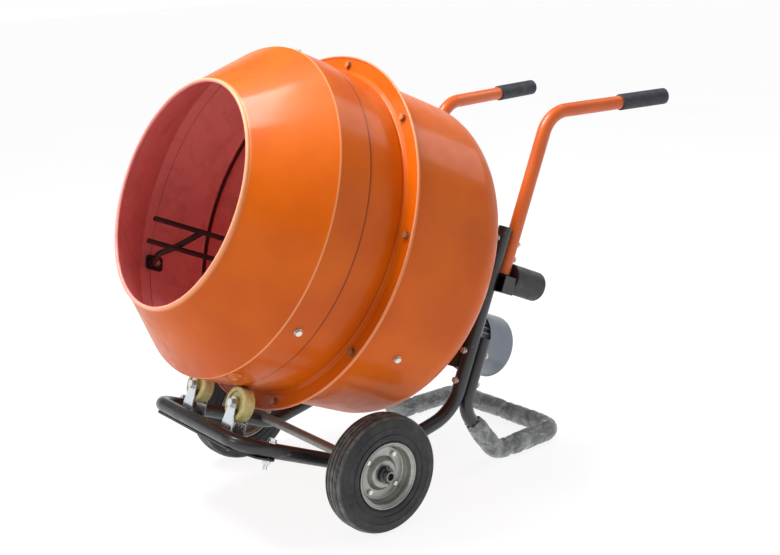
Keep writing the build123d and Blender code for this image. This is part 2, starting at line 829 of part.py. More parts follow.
def handle_end(side):
    """Centre of a grip's outer end."""
    return frame_point(side * grip_x, grip_reach, grip_z)


for side_name, side in sides.items():
    corner = drum_point(side * rail_x, second_tube_s, handle_corner_t)
    end = handle_end(side)
    reach_dir = (end - corner).normalized()
    with BuildPart() as handle:
        handle_points = [drum_point(side * rail_x, second_tube_s, handle_low_t), corner, end - reach_dir * 5]
        bend_tube(handle_points, 75, tube_r, tube_r - tube_wall)
        drill_uprights(second_tube_s - tube_r - 1)
    save(handle, f"handle_{side_name}")
    with BuildPart() as grip:
        round_bar(Plane(origin=end - reach_dir * grip_length, z_dir=reach_dir), [(0, 0)], grip_r, grip_length)
        fillet(edges().filter_by(GeomType.CIRCLE), 2.5)
        bore = Plane(origin=end - reach_dir * 5, z_dir=-reach_dir)
        round_bar(bore, [(0, 0)], tube_r + 0.02, grip_length, Mode.SUBTRACT)
    save(grip, f"grip_{side_name}")

with BuildPart() as tube_bolts:
    bolt_places = [(side * rail_x, t) for side in sides.values() for t in upright_hole_t]
    hex_bolts(across(upright_s - tube_r), bolt_places, 4 * tube_r + 0.1, size=8.0)
save(tube_bolts, "tube_bolts")

# ---- roller plate, forks and rollers
roller_arm = track_r + roller_r + roller_gap
roller_x = roller_arm * sin(radians(roller_angle))
roller_t = -roller_arm * cos(radians(roller_angle))
base_t = 3.0
fork_bolt_offsets = [(x, y) for x in (-32, 32) for y in (-18, 18)]
fork_places = [(side * roller_x + x, y) for side in sides.values() for x, y in fork_bolt_offsets]
rail_bolt_places = [(side * rail_x, plate_bolt_s - roller_s) for side in sides.values()]

with BuildPart() as roller_plate:
    right_edge = [
        (roller_plate_front_half, roller_plate_front_s),
        (roller_plate_half, roller_plate_widen_s),
        (roller_plate_half, roller_plate_rear_s),
    ]
    left_edge = [(-x, s) for x, s in reversed(right_edge)]
    with BuildSketch(level(plate_seat_t, 0)):
        with BuildLine():
            FilletPolyline(*(right_edge + left_edge), radius=12, close=True)
        make_face()
    extrude(amount=-roller_plate_t)
    round_bar(level(plate_seat_t), fork_places, m6_hole_r, -roller_plate_t, Mode.SUBTRACT)
    round_bar(level(plate_seat_t), rail_bolt_places, m10_hole_r, -roller_plate_t, Mode.SUBTRACT)
save(roller_plate, "roller_plate")

for side_name, side in sides.items():
    fork_height = roller_t - plate_seat_t - base_t
    with BuildPart() as fork:
        with BuildSketch(level(plate_seat_t)):
            with Locations((side * roller_x, 0)):
                RectangleRounded(80, 54, 6)
        extrude(amount=base_t)
        for station in (roller_s - fork_gap_half - fork_t, roller_s + fork_gap_half):
            with BuildSketch(across(station)):
                with BuildLine():
                    Polyline(
                        (side * roller_x - 24, roller_t - fork_height),
                        (side * roller_x + 24, roller_t - fork_height),
                        (side * roller_x + 13, roller_t),
                        (side * roller_x - 13, roller_t),
                        close=True,
                    )
                make_face()
                with Locations((side * roller_x, roller_t)):
                    Circle(13.5)
            extrude(amount=-fork_t)
        round_bar(
            across(roller_s - 30), [(side * roller_x, roller_t)], roller_bolt_r + 0.1, -60, Mode.SUBTRACT
        )
        own_places = [place for place in fork_places if place[0] * side > 0]
        round_bar(level(plate_seat_t), own_places, m6_hole_r, base_t, Mode.SUBTRACT)
    save(fork, f"caster_fork_{side_name}")

    with BuildPart() as roller:
        centre = (side * roller_x, roller_t)
        disc(roller_s - roller_half_w, roller_s + roller_half_w, roller_r, centre)
        fillet(edges().filter_by(GeomType.CIRCLE), 4)
        for face_s, depth in ((roller_s - roller_half_w, -4), (roller_s + roller_half_w, 4)):
            with BuildSketch(across(face_s)):
                with Locations(centre):
                    Circle(27)
                    Circle(13, mode=Mode.SUBTRACT)
            extrude(amount=depth, mode=Mode.SUBTRACT)
        disc(roller_s - fork_gap_half + 0.3, roller_s + fork_gap_half - 0.3, 9, centre)
        disc(roller_s - 20, roller_s + 20, roller_bolt_r + 0.06, centre, Mode.SUBTRACT)
    save(roller, f"roller_{side_name}")

with BuildPart() as frame_bolts:
    roller_centres = [(side * roller_x, roller_t) for side in sides.values()]
    fork_grip = 2 * (fork_gap_half + fork_t)
    hex_bolts(across(roller_s - fork_gap_half - fork_t), roller_centres, fork_grip, size=10.0)
    hex_bolts(level(plate_seat_t + base_t), fork_places, base_t + roller_plate_t, size=6.0)
    rail_top = plate_seat_t + 2 * tube_r
    hex_bolts(level(rail_top), rail_bolt_places, rail_top - plate_seat_t + roller_plate_t, size=10.0, tail=12)
save(frame_bolts, "frame_bolts")

with BuildPart() as drive_bolts:
    hex_bolts(across(case_front_s), case_places, plate_s + plate_t - case_front_s, size=6.0)
    inner_wall_s = plate_s - case_wall
    hex_bolts(across(inner_wall_s), housing_places, case_wall + plate_t + housing_flange_t, size=6.0)
    motor_seat = across(motor_front_s + motor_flange_t)
    motor_seat_back = Plane(origin=motor_seat.origin, x_dir=(-1, 0, 0), z_dir=axis_back)
    mirrored_places = [(-x, t) for x, t in motor_screw_places]
    hex_screws(motor_seat_back, mirrored_places, motor_flange_t + motor_front_s - plate_s)
save(drive_bolts, "drive_bolts")

# ---- axle
pin_x = wheel_x + hub_half + 7
with BuildPart() as axle:
    with BuildSketch(Plane.YZ.offset(-axle_half)):
        with Locations((axle_y, wheel_r)):
            Circle(axle_r)
            Circle(axle_r - 3, mode=Mode.SUBTRACT)
    extrude(amount=2 * axle_half)
    with BuildSketch(Plane.XY):
        with Locations((pin_x, axle_y), (-pin_x, axle_y)):
            Circle(2.1)
    extrude(amount=2 * wheel_r, mode=Mode.SUBTRACT)
save(axle, "axle")

with BuildPart() as axle_pins:
    for side in sides.values():
        for washer_x in (wheel_x - hub_half - 3.2, wheel_x + hub_half + 1):
            with BuildSketch(Plane.YZ.offset(side * washer_x)):
                with Locations((axle_y, wheel_r)):
                    Circle(18)
                    Circle(axle_r + 0.02, mode=Mode.SUBTRACT)
            extrude(amount=side * 2.2)
        with BuildSketch(Plane.XY.offset(wheel_r - 19)):
            with Locations((side * pin_x, axle_y)):
                Circle(2)
        extrude(amount=34.4)
        ring_centre = (side * pin_x, axle_y, wheel_r + 19)
        with BuildSketch(Plane(origin=ring_centre, x_dir=(0, 1, 0), z_dir=(1, 0, 0))):
            Circle(5)
            Circle(2.4, mode=Mode.SUBTRACT)
        extrude(amount=1.5, both=True)
save(axle_pins, "axle_pins")


# ---- road wheels
def wheel_section(side):
    """Plane through a wheel's axis; local x runs outboard from its middle, local y is up."""
    origin = (side * wheel_x, axle_y, wheel_r)
    return Plane(origin=origin, x_dir=(side, 0, 0), z_dir=(0, -side, 0))


def spin_wheel(side, points, radii):
    """Revolve a closed outline about a wheel's axis."""
    with BuildSketch(wheel_section(side)) as profile:
        with BuildLine():
            FilletPolyline(*points, radius=radii, close=True)
        make_face()
    revolve(profile.sketch, axis=wheel_axis)


def rim_half(side, hand):
    """Pressed rim half: web, seat and rolled lip, on the outboard (1) or inboard (-1) side."""
    outline = [
        (hand * 12.0, 17.5),
        (hand * 12.0, 28.0),
        (hand * 0.1, 36.0),
        (hand * 0.1, 58.0),
        (hand * 12.0, rim_seat_r),
        (hand * 22.0, rim_seat_r),
        (hand * 26.5, rim_lip_r),
    ]
    turn = Side.RIGHT if hand > 0 else Side.LEFT
    with BuildSketch(wheel_section(side)) as profile:
        with BuildLine():
            FilletPolyline(*outline, radius=[3.5, 3.5, 5, 5, 3])
            offset(amount=sheet, side=turn)
        make_face()
        with Locations((hand * (26.5 + 0.4), rim_lip_r - 1.2)):
            Circle(1.9)
    revolve(profile.sketch, axis=wheel_axis)


web_face = sheet + 0.1
half_w = tyre_w / 2
tyre_outline = [
    (-21.5, rim_seat_r + 0.3),
    (21.5, rim_seat_r + 0.3),
    (25.5, rim_lip_r + 1.5),
    (half_w - 1.5, rim_lip_r + 7),
    (half_w, wheel_r - 22),
    (half_w - 5, wheel_r - 1.5),
    (-half_w + 5, wheel_r - 1.5),
    (-half_w, wheel_r - 22),
    (-half_w + 1.5, rim_lip_r + 7),
    (-25.5, rim_lip_r + 1.5),
]
tread_grooves = (-16.5, -5.5, 5.5, 16.5)
rim_bolt_angles = [pi / 4 + k * pi / 2 for k in range(4)]

for side_name, side in sides.items():
    with BuildPart() as tyre:
        spin_wheel(side, tyre_outline, [1, 1, 2, 5, 14, 11, 11, 14, 5, 2])
        with BuildSketch(wheel_section(side)):
            with Locations((0, wheel_r - 1.5)):
                Rectangle(24, 3)
        revolve(axis=wheel_axis)
        with BuildSketch(wheel_section(side)):
            with Locations(*[(x, wheel_r) for x in tread_grooves]):
                Rectangle(3.2, 9)
        revolve(axis=wheel_axis, mode=Mode.SUBTRACT)
        with BuildSketch(wheel_section(side)):
            with Locations(*[(x, r) for x in (half_w - 0.4, 0.4 - half_w) for r in (88, 103)]):
                Circle(1.2)
        revolve(axis=wheel_axis)
    save(tyre, f"tyre_{side_name}")

    web_bolts = [polar(47, angle) for angle in rim_bolt_angles]
    for half_name, hand in (("outer", 1), ("inner", -1)):
        with BuildPart() as rim:
            rim_half(side, hand)
            with BuildSketch(Plane.YZ.offset(side * wheel_x - 20)):
                with Locations(*[(axle_y + y, wheel_r + z) for y, z in web_bolts]):
                    Circle(3.3)
            extrude(amount=40, mode=Mode.SUBTRACT)
        save(rim, f"rim_{half_name}_{side_name}")

    with BuildPart() as wheel_hub:
        with BuildSketch(Plane.YZ.offset(side * wheel_x - hub_half)):
            with Locations((axle_y, wheel_r)):
                Circle(17.4)
                Circle(hub_bore_r, mode=Mode.SUBTRACT)
        extrude(amount=2 * hub_half)
    save(wheel_hub, f"wheel_hub_{side_name}")

    with BuildPart() as rim_bolts:
        web_seat = (side * (wheel_x + web_face), axle_y, wheel_r)
        seat = Plane(origin=web_seat, x_dir=(0, 1, 0), z_dir=(side, 0, 0))
        hex_bolts(seat, web_bolts, 2 * web_face, size=6.0)
    save(rim_bolts, f"rim_bolts_{side_name}")

# ---- switch box behind the left handle
switch_centre = (rail_x, switch_t)
button_offsets = {"start_button": 12.5, "stop_button": -12.5}

with BuildPart() as switch_bracket:
    with BuildSketch(across(upright_s + tube_r + 0.1)):
        with Locations((rail_x, bracket_t)):
            Rectangle(bracket_w, bracket_h)
            Rectangle(bracket_w - 6, bracket_h - 6, mode=Mode.SUBTRACT)
    extrude(amount=-(switch_start_s - upright_s - tube_r - 0.1))
    with BuildSketch(across(switch_start_s - 3)):
        with Locations((rail_x, bracket_t)):
            Rectangle(bracket_w, bracket_h)
    extrude(amount=-3)
save(switch_bracket, "switch_bracket")

with BuildPart() as switch_box:
    disc(switch_start_s, switch_end_s - 3, switch_r, switch_centre)
    fillet(faces().sort_by(drum_axis)[0].edges(), 3)
    disc(switch_start_s + 3, switch_end_s - 3, switch_r - 3, switch_centre, Mode.SUBTRACT)
    inboard = Plane(origin=drum_point(rail_x - switch_r + 6, switch_start_s + 30, switch_t), z_dir=(-1, 0, 0))
    round_bar(inboard, [(0, 0)], 8.05, 12, Mode.SUBTRACT)
save(switch_box, "switch_box")

with BuildPart() as switch_cover:
    disc(switch_end_s - 3, switch_end_s + 3, switch_r, switch_centre)
    fillet(faces().sort_by(drum_axis)[-1].edges(), 4.5)
    for offset_t in button_offsets.values():
        place = (rail_x, switch_t + offset_t)
        disc(switch_end_s - 3, switch_end_s + 3, button_r + button_clearance, place, Mode.SUBTRACT)
save(switch_cover, "switch_cover")

for button_name, offset_t in button_offsets.items():
    place = (rail_x, switch_t + offset_t)
    with BuildPart() as button:
        disc(switch_end_s - 3 - button_travel, switch_end_s + 3 + button_travel, button_r, place)
        fillet(faces().sort_by(drum_axis)[-1].edges(), 1.5)
        disc(switch_end_s - 6 - button_travel, switch_end_s - 4, button_r + 2, place)
    save(button, button_name)

with BuildPart() as cable_gland:
    round_bar(inboard, [(0, 0)], 8.0, 22)
    with BuildSketch(inboard.offset(8)):
        RegularPolygon(12, 6)
    extrude(amount=8)
    round_bar(inboard, [(0, 0)], 4.0, 22, Mode.SUBTRACT)
save(cable_gland, "cable_gland")
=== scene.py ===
import math

import bmesh
import bpy
from mathutils import Matrix, Vector, noise


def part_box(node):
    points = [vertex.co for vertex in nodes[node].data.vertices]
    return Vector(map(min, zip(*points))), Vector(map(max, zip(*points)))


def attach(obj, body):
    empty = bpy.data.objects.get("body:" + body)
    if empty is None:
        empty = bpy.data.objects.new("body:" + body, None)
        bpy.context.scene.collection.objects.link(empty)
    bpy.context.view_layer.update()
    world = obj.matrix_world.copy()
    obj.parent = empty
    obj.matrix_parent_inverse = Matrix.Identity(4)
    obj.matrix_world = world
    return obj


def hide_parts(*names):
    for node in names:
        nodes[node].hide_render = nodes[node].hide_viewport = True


# Looks for the portable drum mixer. Metres, +Z up, mouth towards -Y, left side +X.
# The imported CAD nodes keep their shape; the foam round the stand is built here.
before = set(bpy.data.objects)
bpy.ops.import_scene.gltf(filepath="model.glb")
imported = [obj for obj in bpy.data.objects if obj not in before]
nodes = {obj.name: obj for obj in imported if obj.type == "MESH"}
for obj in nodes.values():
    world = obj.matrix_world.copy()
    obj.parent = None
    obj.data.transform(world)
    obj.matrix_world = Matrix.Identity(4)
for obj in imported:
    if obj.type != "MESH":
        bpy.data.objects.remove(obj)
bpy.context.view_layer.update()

# ---- places that several materials and pieces share
tilt = math.radians(25)
axis_back = Vector((0, math.cos(tilt), -math.sin(tilt)))
shaft_low, shaft_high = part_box("drum_shaft")
drum_line = (shaft_low + shaft_high) / 2
bolt_low, bolt_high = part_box("hub_bolts")
back_along = ((bolt_low + bolt_high) / 2 - drum_line).dot(axis_back)
# "along" is the distance back along the drum's axis from the middle of its shaft
hub_to_lip = 0.6414
lip_to_seam = 0.2117
lip_to_fold = 0.1363
lip_along = back_along - hub_to_lip
seam_along = lip_along + lip_to_seam
fold_along = lip_along + lip_to_fold
rim_r = 0.392
painted_stud = (0.166, -0.556, 0.377)
tyre_low, tyre_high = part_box("tyre_left")
wheel_line = (tyre_low + tyre_high) / 2
tread_inner_r = 0.1195
tread_outer_r = 0.1235
sidewall_ring_pitch = 0.004
roller_ring_pitch = 0.0035


# ---- procedural materials
class Surface:
    """One procedural material; every distance is in the piece's own metres."""

    def __init__(self, name):
        self.material = bpy.data.materials.new(name)
        self.material.use_nodes = True
        self.tree = self.material.node_tree
        self.shader = self.tree.nodes["Principled BSDF"]
        self.place = self.node("ShaderNodeTexCoord").outputs["Object"]

    def node(self, kind, **settings):
        """Add a node, setting its properties by name."""
        made = self.tree.nodes.new(kind)
        for key, value in settings.items():
            setattr(made, key, value)
        return made

    def feed(self, socket, value):
        """Link an output to a socket, or set the socket's value."""
        if isinstance(value, bpy.types.NodeSocket):
            self.tree.links.new(value, socket)
        else:
            socket.default_value = value

    def math(self, operation, a, b=0.0):
        """Result of a maths node."""
        made = self.node("ShaderNodeMath", operation=operation)
        for socket, value in zip(made.inputs, (a, b)):
            self.feed(socket, value)
        return made.outputs[0]

    def vector(self, operation, a, b=None):
        """Result of a vector maths node: a vector, or a number for dot and length."""
        made = self.node("ShaderNodeVectorMath", operation=operation)
        self.feed(made.inputs[0], a)
        if b is not None:
            self.feed(made.inputs[1], b)
        scalar = operation in ("DOT_PRODUCT", "LENGTH")
        return made.outputs["Value" if scalar else "Vector"]

    def noise(self, size, detail=4.0, rough=0.55, stretch=(1, 1, 1), warp=0.0):
        """Noise whose features are about size metres across."""
        scaled = self.vector("MULTIPLY", self.place, stretch)
        made = self.node("ShaderNodeTexNoise")
        self.feed(made.inputs["Vector"], scaled)
        made.inputs["Scale"].default_value = 1 / size
        made.inputs["Detail"].default_value = detail
        made.inputs["Roughness"].default_value = rough
        made.inputs["Distortion"].default_value = warp
        return made.outputs["Fac"]

    def spread(self, value, low, high, to_low=0.0, to_high=1.0):
        """Map a range of values to another, clamped."""
        made = self.node("ShaderNodeMapRange", interpolation_type="SMOOTHSTEP")
        for socket, number in zip(made.inputs, (value, low, high, to_low, to_high)):
            self.feed(socket, number)
        return made.outputs[0]

    def mix(self, share, a, b):
        """Mix two colours."""
        made = self.node("ShaderNodeMix", data_type="RGBA")
        self.feed(made.inputs[0], share)
        for socket, colour in zip(made.inputs[6:8], (a, b)):
            self.feed(socket, colour if isinstance(colour, bpy.types.NodeSocket) else (*colour, 1))
        return made.outputs[2]

    def bump(self, height, depth, strength=1.0):
        """Bend the surface's normal by a height, depth metres deep."""
        made = self.node("ShaderNodeBump")
        made.inputs["Strength"].default_value = strength
        made.inputs["Distance"].default_value = depth
        self.feed(made.inputs["Height"], height)
        if self.shader.inputs["Normal"].links:
            self.feed(made.inputs["Normal"], self.shader.inputs["Normal"].links[0].from_socket)
        self.feed(self.shader.inputs["Normal"], made.outputs[0])

    def set(self, **inputs):
        """Set the shader's inputs; an underscore stands for a space."""
        for key, value in inputs.items():
            socket = self.shader.inputs[key.replace("_", " ")]
            colour = isinstance(value, tuple) and len(value) == 3 and socket.type == "RGBA"
            self.feed(socket, (*value, 1) if colour else value)

    def hollow(self, reach):
        """How enclosed a point is: 0 in the open, 1 deep in a corner."""
        made = self.node("ShaderNodeAmbientOcclusion", samples=4)
        made.inputs["Distance"].default_value = reach
        return self.spread(made.outputs["AO"], 0.35, 0.95, 1.0, 0.0)

    def edges(self, radius):
        """1 along sharp outer edges, 0 on flat faces."""
        soft = self.node("ShaderNodeBevel", samples=4)
        soft.inputs["Radius"].default_value = radius
        normal = self.node("ShaderNodeNewGeometry").outputs["Normal"]
        turn = self.vector("DOT_PRODUCT", soft.outputs[0], normal)
        return self.spread(turn, 0.8, 0.99, 1.0, 0.0)


def linear(level):
    """One sRGB level, 0 to 255, as linear light: straight near black, a power curve above."""
    return ((level / 255 + 0.055) / 1.055) ** 2.4 if level > 10 else level / 3294.6


def hue(red, green, blue):
    """Linear colour from the usual 0 to 255 values."""
    return linear(red), linear(green), linear(blue)


def painted(name, colour, shade, rough, peel=0.00006, dust=0.12, chips=0.0, coat=0.35):
    """Sprayed paint: uneven colour, orange peel, painted shade in corners, pale dusty scuffs and chipped
    edges.
    """
    s = Surface(name)
    cloud = s.noise(0.22, 3)
    fine = s.noise(0.012, 5, 0.65)
    base = s.mix(s.spread(cloud, 0.35, 0.65), colour, shade)
    # Painted shade: darker in corners and recesses, broken by fine noise; dust also sets its weight.
    corner_shade = s.math("MULTIPLY", s.hollow(0.03), s.spread(fine, 0.3, 0.6, 0.4, 1.0))
    base = s.mix(s.math("MULTIPLY", corner_shade, dust * 2.5), base, tuple(c * 0.35 for c in shade))
    scuffs = s.spread(s.noise(0.035, 6, 0.7, (1, 1, 3)), 0.62, 0.72)
    base = s.mix(s.math("MULTIPLY", scuffs, dust), base, hue(205, 190, 170))
    metal = 0.0
    if chips:
        worn = s.math("MULTIPLY", s.edges(0.0016), s.spread(fine, 0.5, 0.62))
        worn = s.math("MULTIPLY", worn, chips)
        base = s.mix(worn, base, hue(120, 116, 112))
        metal = worn
    s.set(
        Base_Color=base,
        Metallic=metal,
        Roughness=s.spread(s.noise(0.03, 5), 0.3, 0.7, rough - 0.06, rough + 0.1),
        Coat_Weight=coat,
        Coat_Roughness=0.13,
    )
    s.bump(s.noise(0.0035, 2), peel)
    s.bump(s.noise(0.12, 2), 0.0006, 0.5)
    return s


def metal(name, colour, rough, tint, streak=(1, 1, 1), rust=0.0, metallic=1.0, relief=0.00005):
    """Bare or plated metal: blotchy plating, fine scratches, a little corrosion and painted shade in
    corners.
    """
    s = Surface(name)
    blotch = s.spread(s.noise(0.014, 5, 0.6), 0.3, 0.7)
    base = s.mix(blotch, colour, tuple(c * t for c, t in zip(colour, tint)))
    # Painted shade: the metal is darkened in corners and recesses.
    corner_shade = s.hollow(0.008)
    base = s.mix(s.math("MULTIPLY", corner_shade, 0.4), base, hue(60, 56, 52))
    if rust:
        spots = s.spread(s.noise(0.006, 6, 0.7), 0.56, 0.7, 0.0, rust)
        base = s.mix(spots, base, hue(104, 62, 38))
    scratch = s.noise(0.004, 3, 0.7, streak)
    s.set(
        Base_Color=base,
        Metallic=metallic,
        Roughness=s.spread(scratch, 0.3, 0.7, rough - 0.08, rough + 0.14),
    )
    s.bump(scratch, relief)
    return s


def moulded(name, colour, rough, grain=0.0012, depth=0.00005, dust=0.15):
    """Moulded plastic or rubber: fine grain, scuffs and pale dust."""
    s = Surface(name)
    base = s.mix(s.spread(s.noise(0.06, 4), 0.3, 0.7), colour, tuple(c * 0.72 for c in colour))
    powder = s.spread(s.noise(0.018, 6, 0.7), 0.5, 0.75, 0.0, dust)
    base = s.mix(powder, base, hue(150, 146, 138))
    s.set(
        Base_Color=base,
        Roughness=s.spread(s.noise(0.02, 5), 0.3, 0.7, rough - 0.08, rough + 0.12),
    )
    s.bump(s.noise(grain, 2), depth)
    return s


def drum_paint(name):
    """Orange outside and a darker red-orange inside, told apart by which way a face looks."""
    s = painted(name, hue(204, 92, 0), hue(190, 80, 0), rough=0.42, coat=0.22, dust=0.04)
    old = s.shader.inputs["Base Color"].links[0].from_socket
    offset = s.vector("SUBTRACT", s.place, tuple(drum_line))
    along = s.vector("DOT_PRODUCT", offset, tuple(axis_back))
    shift = s.node("ShaderNodeVectorMath", operation="SCALE")
    shift.inputs[0].default_value = tuple(axis_back)
    s.feed(shift.inputs["Scale"], along)
    radial = s.vector("SUBTRACT", offset, shift.outputs[0])
    spoke = s.vector("NORMALIZE", radial)
    normal = s.node("ShaderNodeTexCoord").outputs["Normal"]
    outward = s.vector("DOT_PRODUCT", spoke, normal)
    inside = s.spread(outward, -0.2, -0.05, 1.0, 0.0)
    splash = s.spread(s.noise(0.05, 6, 0.65, (1, 1, 1), 0.6), 0.42, 0.7, 0.0, 0.6)
    lining = s.mix(splash, hue(236, 148, 144), hue(214, 128, 124))
    streak = s.spread(s.noise(0.02, 5, 0.7, (1, 0.15, 1)), 0.6, 0.75, 0.0, 0.3)
    lining = s.mix(streak, lining, hue(232, 150, 136))
    # Painted shade: a dark line along the seam stands in for the shade under the skirt's step.
    seam = s.math("ABSOLUTE", s.math("SUBTRACT", along, seam_along))
    old = s.mix(s.spread(seam, 0.001, 0.0035, 0.85, 0.0), old, hue(98, 34, 12))
    # Painted highlights: pale lines along the fold and the flange's rim stand in for light catching them.
    fold = s.math("ABSOLUTE", s.math("SUBTRACT", along, fold_along))
    rim = s.spread(s.vector("LENGTH", radial), rim_r - 0.004, rim_r, 0.0, 0.55)
    rim = s.math("MULTIPLY", rim, s.spread(fold, 0.1, 0.11))
    bright = s.math("MAXIMUM", s.spread(fold, 0.0006, 0.0028, 0.6, 0.0), rim)
    old = s.mix(bright, old, hue(240, 166, 112))
    # Painted highlight: the lip's bead is lightened to a pale peach, as if catching the light.
    lip_highlight = s.spread(along, lip_along + 0.006, lip_along + 0.012, 0.75, 0.0)
    painted_out = s.mix(lip_highlight, old, hue(244, 176, 132))
    s.set(Base_Color=s.mix(inside, painted_out, lining), Specular_IOR_Level=0.12)
    return s


stud_metallic = 0.85


def stud_metal(name):
    """Bright plated steel of the studs and small bolts."""
    return metal(name, hue(232, 230, 222), 0.24, (0.86, 0.86, 0.84), metallic=stud_metallic)


def drum_studs(name):
    """Bright studs through the drum's wall; the one under the front skirt is painted over."""
    s = stud_metal(name)
    shader = s.shader.inputs
    bare = shader["Base Color"].links[0].from_socket
    shine = shader["Roughness"].links[0].from_socket
    away = s.vector("LENGTH", s.vector("SUBTRACT", s.place, painted_stud))
    covered = s.math("MULTIPLY", s.spread(away, 0.03, 0.04, 1.0, 0.0), s.spread(s.noise(0.01), 0.35, 0.42))
    s.set(Base_Color=s.mix(covered, bare, hue(214, 118, 58)))
    s.set(Metallic=s.math("SUBTRACT", stud_metallic, s.math("MULTIPLY", covered, stud_metallic)))
    s.set(Roughness=s.math("MAXIMUM", shine, s.math("MULTIPLY", covered, 0.45)))
    return s


def tyre_rubber(name, side):
    """Black tyre: dusty tread, darker sidewall with faint moulded rings."""
    s = Surface(name)
    centre = (side * wheel_line.x, wheel_line.y, wheel_line.z)
    offset = s.vector("MULTIPLY", s.vector("SUBTRACT", s.place, centre), (0, 1, 1))
    radius = s.vector("LENGTH", offset)
    tread = s.spread(radius, tread_inner_r, tread_outer_r)
    dust = s.spread(s.noise(0.02, 6, 0.7), 0.35, 0.7, 0.15, 0.75)
    base = s.mix(s.spread(s.noise(0.05, 4), 0.3, 0.7), hue(58, 59, 60), hue(44, 45, 47))
    base = s.mix(s.math("MULTIPLY", tread, dust), base, hue(128, 127, 124))
    wall = s.spread(s.noise(0.03, 5, 0.7), 0.55, 0.8, 0.0, 0.3)
    base = s.mix(wall, base, hue(96, 94, 92))
    s.set(Base_Color=base, Roughness=s.spread(s.noise(0.01, 4), 0.3, 0.7, 0.5, 0.72))
    s.set(Specular_IOR_Level=0.35)
    rings = s.math("SINE", s.math("MULTIPLY", radius, 2 * math.pi / sidewall_ring_pitch))
    s.bump(rings, 0.00012, 0.5)
    s.bump(s.noise(0.0015, 2), 0.0001)
    return s


def rim_paint(name):
    """Dull zinc-grey rim with handling marks, a film of dust and painted shade in its hollows."""
    s = metal(name, hue(176, 176, 170), 0.36, (0.8, 0.8, 0.82), rust=0.12, metallic=0.85)
    s.bump(s.noise(0.02, 3), 0.0006, 0.6)
    return s


def nylon(name, side):
    """Yellowed nylon roller with faint turning rings on its faces."""
    s = Surface(name)
    low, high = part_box(f"roller_{side}")
    offset = s.vector("SUBTRACT", s.place, tuple((low + high) / 2))
    along = s.vector("DOT_PRODUCT", offset, tuple(axis_back))
    square = s.math("SUBTRACT", s.vector("DOT_PRODUCT", offset, offset), s.math("MULTIPLY", along, along))
    radius = s.math("SQRT", s.math("MAXIMUM", square, 0.0))
    base = s.mix(s.spread(s.noise(0.015, 4), 0.3, 0.7), hue(222, 214, 150), hue(196, 184, 112))
    # Painted shade: the roller is darkened in its hollows.
    hollow_shade = s.math("MULTIPLY", s.hollow(0.01), 0.7)
    base = s.mix(hollow_shade, base, hue(110, 98, 62))
    s.set(Base_Color=base, Roughness=0.42, Subsurface_Weight=0.12, Subsurface_Scale=0.004)
    s.set(Subsurface_Radius=(1.0, 0.8, 0.4))
    rings = s.math("SINE", s.math("MULTIPLY", radius, 2 * math.pi / roller_ring_pitch))
    s.bump(rings, 0.0001, 0.6)
    return s


def foam(name):
    """Grey packing foam under a dusty, creased film, with pale streaks painted on the film as its sheen
    and painted shade in its creases.
    """
    s = Surface(name)
    cloud = s.spread(s.noise(0.035, 5, 0.6, warp=0.8), 0.35, 0.65)
    base = s.mix(cloud, hue(150, 155, 154), hue(94, 99, 104))
    dirt = s.spread(s.noise(0.012, 6, 0.75), 0.45, 0.7, 0.0, 0.7)
    base = s.mix(dirt, base, hue(92, 92, 90))
    # Painted highlights: pale streaks on the film stand in for its sheen.
    film = s.spread(s.noise(0.014, 5, 0.7, (1, 0.25, 1), 0.5), 0.55, 0.7, 0.0, 0.55)
    base = s.mix(film, base, hue(206, 209, 204))
    # Painted shade: the foam is darkened in its creases and hollows.
    crease_shade = s.math("MULTIPLY", s.hollow(0.008), 0.8)
    base = s.mix(crease_shade, base, hue(88, 90, 86))
    s.set(
        Base_Color=base,
        Roughness=s.spread(s.noise(0.01, 4), 0.3, 0.7, 0.28, 0.6),
        Subsurface_Weight=0.2,
        Subsurface_Scale=0.006,
        Coat_Weight=0.35,
        Coat_Roughness=0.2,
    )
    s.bump(s.noise(0.009, 5, 0.7, warp=1.2), 0.0012, 0.9)
    s.bump(s.noise(0.0016, 2), 0.0001)
    return s


orange = drum_paint("orange_drum_paint")
handle_paint = painted("orange_handle_paint", hue(206, 92, 16), hue(190, 80, 12), 0.4, chips=0.5, coat=0.2)
black_paint = painted("black_frame_paint", hue(36, 37, 41), hue(27, 28, 31), 0.36, dust=0.22, chips=0.35)
arm_paint = painted("black_arm_paint", hue(44, 38, 38), hue(30, 26, 27), 0.45, dust=0.2, chips=0.4)
bolt_paint = painted("painted_bolt", hue(216, 120, 52), hue(120, 84, 60), 0.4, dust=0.3, chips=0.9)
case_paint = painted("black_case_paint", hue(40, 41, 44), hue(30, 31, 33), 0.48, peel=0.0002, dust=0.3)
motor_grey, motor_shade = hue(138, 144, 154), hue(116, 122, 134)
motor_paint = painted("grey_motor_paint", motor_grey, motor_shade, 0.42, peel=0.00015, dust=0.15)
zinc = metal("bright_zinc", hue(228, 232, 236), 0.18, (0.93, 0.95, 0.97), metallic=0.9, relief=0.00001)
stud_zinc = stud_metal("stud_zinc")
pin_steel = metal("dull_pin_steel", hue(112, 112, 112), 0.45, (0.8, 0.8, 0.8), rust=0.3)
gasket_rubber = moulded("overpainted_gasket", hue(92, 42, 38), 0.6)
bar_steel = metal("galvanised_bar", hue(150, 148, 144), 0.42, (0.8, 0.8, 0.8), rust=0.2, metallic=0.8)
machined = metal("machined_steel", hue(168, 168, 168), 0.3, (0.85, 0.85, 0.85), streak=(1, 8, 1))
grip_rubber = moulded("grip_rubber", hue(42, 44, 54), 0.62, grain=0.0016, depth=0.00025, dust=0.12)
seal_rubber = moulded("seal_rubber", hue(30, 30, 31), 0.6)
black_plastic = moulded("black_plastic", hue(38, 38, 40), 0.42, dust=0.14)
green_plastic = moulded("green_plastic", hue(28, 132, 56), 0.3, dust=0.05)
red_plastic = moulded("red_plastic", hue(190, 30, 28), 0.3, dust=0.05)
rim_grey = rim_paint("rim_grey")

